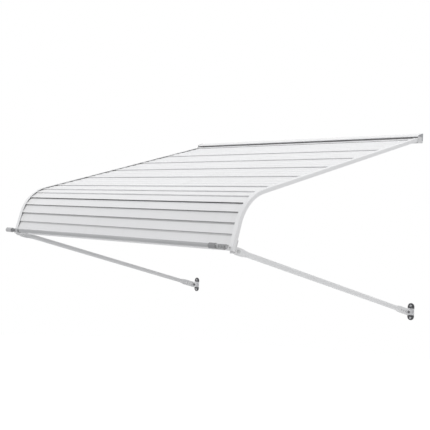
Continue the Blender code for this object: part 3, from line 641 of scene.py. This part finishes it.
def joined_slats(name, sources, middles, slopes, finish, body, slot):
    """One sheet from the upper half of a slat and the lower half of the next, bridged flat between."""
    whole = bmesh.new()
    for source, middle, slope, cut_away in zip(sources, middles, slopes, ("outer", "inner")):
        kept = half_slat(source, middle, slope, cut_away)
        whole.from_mesh(kept)
        bpy.data.meshes.remove(kept)
    bmesh.ops.bridge_loops(whole, edges=[edge for edge in whole.edges if edge.is_boundary])
    bmesh.ops.recalc_face_normals(whole, faces=whole.faces)
    mesh = bpy.data.meshes.new(name)
    whole.to_mesh(mesh)
    whole.free()
    mesh.materials.append(finish)
    stands_for(new_object(name, mesh), body, slot, *sources)


roof_white = enamel("roof_white", ENAMEL_WHITE, ENAMEL_DUSTY, 0.33, SEAM_SHADE, LIP_SHADOW_BANDS)
wear([name for name in node if name.startswith(("roof_pan", "front_slat"))], roof_white)
wear(("front_trim",), header_white)

# Over the top of the curve one wider sheet runs where the frame has its first two slats.
first_slats = ("front_slat_1", "front_slat_2")
joined_slats("curve_sheet", first_slats, SLAT_MIDDLES, SLAT_SLOPES, roof_white, "canopy", "white_paint")

# The receiver's lip reaches further over the first pan than in the frame.
# RECEIVER_SHADE is near-black painted shade on the lip's edge faces.
receiver_white = drawn_enamel("receiver_white", ENAMEL_WHITE, ENAMEL_DUSTY, 0.36, RECEIVER_SHADE)
receiver = own_copy("lipped_receiver", "receiver_rail", receiver_white, "canopy", "white_paint")
for vertex in receiver.data.vertices:
    if vertex.co.y < LIP_BEHIND:
        vertex.co += down_slope(ROOF_SLOPE) * LIP_LONGER


# Side rails
# Extruded C-channels, stretched round a former to the side profile. They hold the ends of the
# pans and slats, and their inner web is painted dark as shade.
RAIL_INNER_FACE = 0.6045
INWARD_TILT = -0.3
TOP_FLANGE_EDGE = 0.5865
FLANGE_NARROWER = 0.007
RAIL_SHADE = (0.10, 0.10, 0.105)
RAIL_WHITE = (0.87, 0.87, 0.875)
RAIL_CHIP = (0.5, 0.5, 0.5)


def rail_enamel(name):
    """Rail enamel, with painted shade on the channel's inner web, which only shows through the gap above a
    pan.
    """
    made, tree, shader = new_material(name)
    film = effect(tree, enamel_film)
    grit = effect(tree, specks)["Specks"]
    across = place_on(tree)["X"]
    deep = reckon(tree, "GREATER_THAN", reckon(tree, "ABSOLUTE", across), RAIL_INNER_FACE)
    tilt = reckon(tree, "MULTIPLY", across, facing_of(tree)["X"])
    inward = reckon(tree, "LESS_THAN", tilt, INWARD_TILT)
    paint = blend(tree, span(tree, film["Tone"], 0.35, 0.7, 0, 1), RAIL_WHITE, ENAMEL_WHITE)
    paint = blend(tree, span(tree, film["Runs"], 0.6, 0.8, 0, 0.5), paint, ENAMEL_DUSTY)
    paint = blend(tree, reckon(tree, "MULTIPLY", grit, 0.3), paint, RAIL_CHIP)
    # Painted shade: the inner web facing the middle is near black.
    paint = blend(tree, reckon(tree, "MULTIPLY", deep, inward), paint, RAIL_SHADE)
    tree.links.new(paint, shader.inputs["Base Color"])
    tree.links.new(span(tree, film["Runs"], 0.4, 0.75, 0.3, 0.45), shader.inputs["Roughness"])
    relief(tree, shader, film["Peel"], 0.0002, 0.12)
    return made


# The rails' top flanges are a little narrower than in the frame.
rail_white = rail_enamel("rail_white")
for word in ("left", "right"):
    rail = own_copy(f"slim_rail_{word}", f"side_rail_{word}", rail_white, "canopy", "white_paint")
    for vertex in rail.data.vertices:
        if abs(vertex.co.x) < TOP_FLANGE_EDGE:
            vertex.co.x += FLANGE_NARROWER if vertex.co.x > 0 else -FLANGE_NARROWER


# Rail screws
# Self-tapping screws through each rail's top flange, one into the first pan and one into the
# front trim, with their heads in the rails' enamel colour.
RAIL_SCREW_LENGTH = 0.008
FRONT_SLOPE = radians(75.0)
PAINTED_HEAD = (0.66, 0.665, 0.67)
PAINTED_HEAD_WORN = (0.5, 0.5, 0.5)


def out_of_slope(slope):
    """The direction square to the roof, outward, where it has a slope."""
    return Vector((0, -sin(slope), cos(slope)))


painted_head = plated("painted_head", PAINTED_HEAD, PAINTED_HEAD_WORN, 0.35, 0.2)
rail_screw = recessed_screw("rail_screw", SCREW_HEAD, SCREW_HEAD_HEIGHT, SCREW_SHANK, RAIL_SCREW_LENGTH)
rail_seats = []
for word in ("left", "right"):
    rail_seats.append((f"rail_screw_{word}_upper", out_of_slope(ROOF_SLOPE)))
    rail_seats.append((f"rail_screw_{word}_lower", out_of_slope(FRONT_SLOPE)))
seated("rail_screws", rail_screw, SCREW_HEAD_HEIGHT, rail_seats, painted_head, "canopy", "zinc_steel")
bpy.data.objects.remove(rail_screw)


# Front bar and its fittings
# A drawn aluminium tube in front of the canopy's lower edge, held by two J-shaped straps that
# are riveted to the front trim. A ribbed grey plug and a sleeve finish each end.
BAR_GREY = (0.40, 0.404, 0.412)
BAR_GREY_RUBBED = (0.50, 0.505, 0.51)
STRAP_GREY = (0.20, 0.20, 0.205)
STRAP_GREY_RUBBED = (0.32, 0.32, 0.32)
SLEEVE_GREY = (0.27, 0.272, 0.28)
PLUG_GREY = (0.47, 0.472, 0.48)
GROOVE_SHADE_GREY = (0.13, 0.13, 0.135)
BAR_Y = -1.05915
BAR_Z = -0.44156
GROOVE_FLOOR = 0.0058
GROOVE_FLOOR_BAND = 0.0004


def drawn_tube(name, colour, rubbed, roughness, stretch, turned=0.0, metallic=0.0):
    """Paint or lacquer over drawn tube, whose long fine lines show along it."""
    made, tree, shader = new_material(name)
    drawn = pattern(tree, "ShaderNodeTexNoise", 420.0, {"Detail": 3.0}, stretch, turned)
    lines = drawn.outputs["Fac"]
    film = effect(tree, enamel_film, Peel_Scale=700.0)
    paint = blend(tree, span(tree, lines, 0.45, 0.7, 0, 0.6), colour, tinted(colour, 0.93))
    paint = blend(tree, effect(tree, specks, Speck_Scale=240.0)["Specks"], paint, rubbed)
    paint = blend(tree, span(tree, film["Tone"], 0.4, 0.7, 0, 0.35), paint, rubbed)
    tree.links.new(paint, shader.inputs["Base Color"])
    shader.inputs["Metallic"].default_value = metallic
    tree.links.new(span(tree, lines, 0.35, 0.7, roughness, roughness + 0.15), shader.inputs["Roughness"])
    relief(tree, shader, reckon(tree, "ADD", lines, film["Peel"]), 0.0001, 0.2)
    return made


def ribbed_plastic(name, colour, groove):
    """Grey plastic with painted shade in its grooves, nearer the bar's middle line."""
    made, tree, shader = new_material(name)
    film = effect(tree, enamel_film, Peel_Scale=1500.0)
    place = place_on(tree)
    off_y = reckon(tree, "POWER", reckon(tree, "SUBTRACT", place["Y"], BAR_Y), 2.0)
    off_z = reckon(tree, "POWER", reckon(tree, "SUBTRACT", place["Z"], BAR_Z), 2.0)
    radius = reckon(tree, "SQRT", reckon(tree, "ADD", off_y, off_z))
    in_groove = reckon(tree, "COMPARE", radius, GROOVE_FLOOR)
    in_groove.node.inputs[2].default_value = GROOVE_FLOOR_BAND
    paint = blend(tree, span(tree, film["Tone"], 0.35, 0.7, 0, 0.5), colour, tinted(colour, 0.85))
    # Painted shade in the grooves.
    paint = blend(tree, in_groove, paint, groove)
    tree.links.new(paint, shader.inputs["Base Color"])
    tree.links.new(span(tree, film["Peel"], 0.3, 0.7, 0.4, 0.6), shader.inputs["Roughness"])
    relief(tree, shader, film["Peel"], 0.0001, 0.35)
    return made


bar_lacquer = drawn_tube("bar_lacquer", BAR_GREY, BAR_GREY_RUBBED, 0.28, (0.02, 1, 1))
strap_finish = drawn_tube(
    "strap_finish", STRAP_GREY, STRAP_GREY_RUBBED, 0.35, (1, 0.05, 0.05), metallic=0.3)
dark_sleeve = ribbed_plastic("dark_sleeve", SLEEVE_GREY, GROOVE_SHADE_GREY)
pale_sleeve = ribbed_plastic("pale_sleeve", PLUG_GREY, GROOVE_SHADE_GREY)
wear(("front_bar",), bar_lacquer)
wear(("bar_hook_left", "bar_hook_right"), strap_finish)
wear(("bar_collar_right", "bar_plug_left"), dark_sleeve)
wear(("bar_collar_left", "bar_plug_right"), pale_sleeve)
wear(("hook_rivet_left", "hook_rivet_right"), painted_head)


# Arm brackets
# Clevises under the rails' lower ends, in the same enamel, each with two screws up into the
# rail. The arms swing down between their ears on hex-headed pivot bolts.
BRACKET_SCREW_LENGTH = 0.006
ARM_WHITE = (0.84, 0.84, 0.845)

bracket_white = enamel("bracket_white", ARM_WHITE, ENAMEL_DUSTY, 0.36)
wear(("arm_bracket_left", "arm_bracket_right"), bracket_white)
bracket_screw = recessed_screw(
    "bracket_screw", SCREW_HEAD, SCREW_HEAD_HEIGHT, SCREW_SHANK, BRACKET_SCREW_LENGTH)
bracket_seats = []
for word in ("left", "right"):
    for index in (1, 2):
        bracket_seats.append((f"bracket_screw_{word}_{index}", -out_of_slope(FRONT_SLOPE)))
seated("bracket_screws", bracket_screw, SCREW_HEAD_HEIGHT, bracket_seats, zinc, "canopy", "zinc_steel")
bpy.data.objects.remove(bracket_screw)
wear([name for name in node if name.startswith(("arm_bolt", "arm_nut"))], painted_head)


# Support arms
# Round aluminium tubes in white enamel, pressed flat at both ends, with one hole in front and
# a row of holes at the wall for setting the canopy's slope. The left one is painted greyer as shade.
ARM_SLOPE = radians(-12.545)
ARM_LINES = (1, 0.02, 1)
ARM_RUBBED = (0.74, 0.745, 0.75)
ARM_SHADED = (0.70, 0.70, 0.706)
ARM_SHADED_RUBBED = (0.62, 0.622, 0.63)

arm_white = drawn_tube("arm_white", ARM_WHITE, ARM_RUBBED, 0.3, ARM_LINES, turned=ARM_SLOPE)
# The left arm's finish is the same enamel made greyer: painted shade.
arm_in_painted_shade = drawn_tube("arm_in_painted_shade", ARM_SHADED, ARM_SHADED_RUBBED, 0.3, ARM_LINES, turned=ARM_SLOPE)
wear(("support_arm_right",), arm_white)
wear(("support_arm_left",), arm_in_painted_shade)


# Wall feet
# Round-ended steel plates with a dark plating, each with a bright clevis for the arm's wall
# end, a dark pivot bolt and two wall screws.
FOOT_SCREW_HEAD = 0.009
FOOT_SCREW_HEIGHT = 0.003
FOOT_SCREW_SHANK = 0.0045
FOOT_SCREW_LENGTH = 0.003
FOOT_DARK = (0.07, 0.07, 0.075)
FOOT_DARK_RUBBED = (0.15, 0.15, 0.155)
CLEVIS_BRIGHT = (0.80, 0.80, 0.81)
CLEVIS_DULL = (0.66, 0.66, 0.67)
FOOT_BOLT_DARK = (0.10, 0.10, 0.105)
FOOT_BOLT_RUBBED = (0.22, 0.22, 0.225)
CLEVIS_FACE = -0.0031
CLEVIS_BAND = 0.0125
CLEVIS_BAND_EDGE = 0.0008
FOOT_Z = -0.671


def foot_plating(name):
    """Dark plating on the wall plate, with grit and rubs, and bright zinc on its middle and clevis."""
    made, tree, shader = new_material(name)
    crystals = pattern(tree, "ShaderNodeTexVoronoi", 600.0).outputs["Distance"]
    patches = pattern(tree, "ShaderNodeTexNoise", 120.0, {"Detail": 4.0}).outputs["Fac"]
    place = place_on(tree)
    ahead = reckon(tree, "LESS_THAN", place["Y"], CLEVIS_FACE)
    from_middle = reckon(tree, "ABSOLUTE", reckon(tree, "SUBTRACT", place["Z"], FOOT_Z))
    middle = span(tree, from_middle, CLEVIS_BAND, CLEVIS_BAND + CLEVIS_BAND_EDGE, 0.9, 0)
    dark = blend(tree, span(tree, patches, 0.5, 0.75, 0, 1), FOOT_DARK, FOOT_DARK_RUBBED)
    bright = blend(tree, span(tree, patches, 0.4, 0.7, 0, 1), CLEVIS_BRIGHT, CLEVIS_DULL)
    paint = blend(tree, reckon(tree, "MAXIMUM", ahead, middle), dark, bright)
    tree.links.new(paint, shader.inputs["Base Color"])
    shader.inputs["Metallic"].default_value = 0.35
    tree.links.new(span(tree, patches, 0.3, 0.7, 0.3, 0.5), shader.inputs["Roughness"])
    relief(tree, shader, crystals, 0.00005, 0.3)
    return made


foot_finish = foot_plating("foot_plating")
dark_bolt = plated("dark_bolt", FOOT_BOLT_DARK, FOOT_BOLT_RUBBED, 0.35, 0.3)
foot_screw = recessed_screw(
    "foot_screw", FOOT_SCREW_HEAD, FOOT_SCREW_HEIGHT, FOOT_SCREW_SHANK, FOOT_SCREW_LENGTH)
for word in ("left", "right"):
    wear((f"wall_foot_{word}",), foot_finish)
    wear((f"foot_bolt_{word}", f"foot_nut_{word}"), dark_bolt)
    foot_seats = [(f"foot_screw_{word}_{end}", OUT_OF_WALL) for end in ("upper", "lower")]
    foot_body = f"foot_{word}"
    seated(f"foot_screws_{word}", foot_screw, FOOT_SCREW_HEIGHT, foot_seats, zinc, foot_body, "zinc_steel")
bpy.data.objects.remove(foot_screw)
